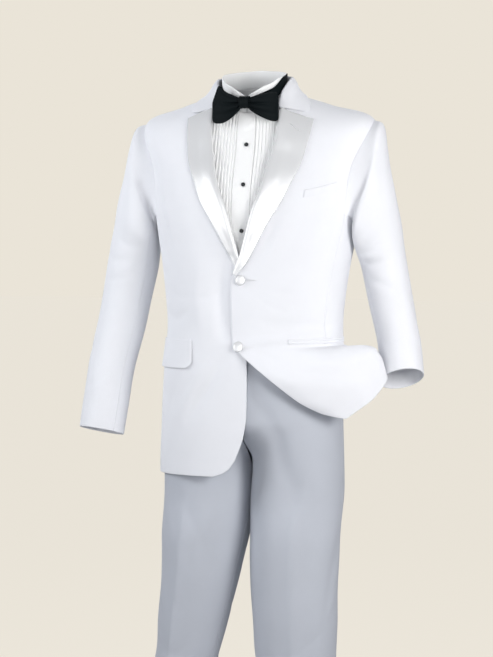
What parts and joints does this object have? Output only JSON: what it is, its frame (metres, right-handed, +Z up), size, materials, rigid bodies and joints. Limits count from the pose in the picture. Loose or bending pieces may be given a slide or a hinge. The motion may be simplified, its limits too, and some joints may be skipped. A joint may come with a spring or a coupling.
{
  "type": "tuxedo suit",
  "caption": "White single-breasted notch-lapel dinner suit with pleated shirt, wing collar and black bow tie, hollow as worn, left quarter swept back.",
  "frame": {"origin": "midway between the two points where the shoulder seams meet the neck, where the wearer's shoulders hold the suit up", "axes": "+Z up, -Y out of the fronts, +X towards the wearer's left arm"},
  "size_m": [0.6915, 0.2758, 1.5442],
  "materials": {
    "bow": "soft satin",
    "bow_band": "soft satin",
    "bow_knot": "soft satin",
    "button_lower": "satin",
    "button_top": "satin",
    "chest_welt": "matt plain weave",
    "collar": "matt plain weave",
    "jacket_back_left": "matt plain weave",
    "jacket_back_right": "matt plain weave",
    "jacket_front_left": "matt plain weave",
    "jacket_front_right": "matt plain weave",
    "jacket_side_left": "matt plain weave",
    "jacket_side_right": "matt plain weave",
    "lapel_left": "satin",
    "lapel_right": "satin",
    "pocket_flap_right": "matt plain weave",
    "pocket_welt_left": "matt plain weave",
    "shirt_back": "matt cotton",
    "shirt_collar": "matt cotton",
    "shirt_front_left": "matt cotton",
    "shirt_front_right": "matt cotton",
    "shirt_placket": "matt cotton",
    "sleeve_top_left": "matt plain weave",
    "sleeve_top_right": "matt plain weave",
    "sleeve_under_left": "matt plain weave",
    "sleeve_under_right": "matt plain weave",
    "stud_1": "polished",
    "stud_2": "polished",
    "stud_3": "polished",
    "trouser_back_left": "matt plain weave",
    "trouser_back_right": "matt plain weave",
    "trouser_front_left": "matt plain weave",
    "trouser_front_right": "matt plain weave",
    "waistband": "matt plain weave"
  },
  "bodies": {
    "root": {"bow": "bow", "bow_band": "bow_band", "bow_knot": "bow_knot", "button_lower": "button_lower", "button_top": "button_top", "chest_welt": "chest_welt", "collar": "collar", "jacket_back_left": "jacket_back_left", "jacket_back_right": "jacket_back_right", "jacket_front_left": "jacket_front_left", "jacket_front_right": "jacket_front_right", "jacket_side_left": "jacket_side_left", "jacket_side_right": "jacket_side_right", "lapel_left": "lapel_left", "lapel_right": "lapel_right", "pocket_flap_right": "pocket_flap_right", "pocket_welt_left": "pocket_welt_left", "shirt_back": "shirt_back", "shirt_collar": "shirt_collar", "shirt_front_left": "shirt_front_left", "shirt_front_right": "shirt_front_right", "shirt_placket": "shirt_placket", "sleeve_top_left": "sleeve_top_left", "sleeve_top_right": "sleeve_top_right", "sleeve_under_left": "sleeve_under_left", "sleeve_under_right": "sleeve_under_right", "stud_1": "stud_1", "stud_2": "stud_2", "stud_3": "stud_3", "trouser_back_left": "trouser_back_left", "trouser_back_right": "trouser_back_right", "trouser_front_left": "trouser_front_left", "trouser_front_right": "trouser_front_right", "waistband": "waistband"}
  },
  "joints": []
}
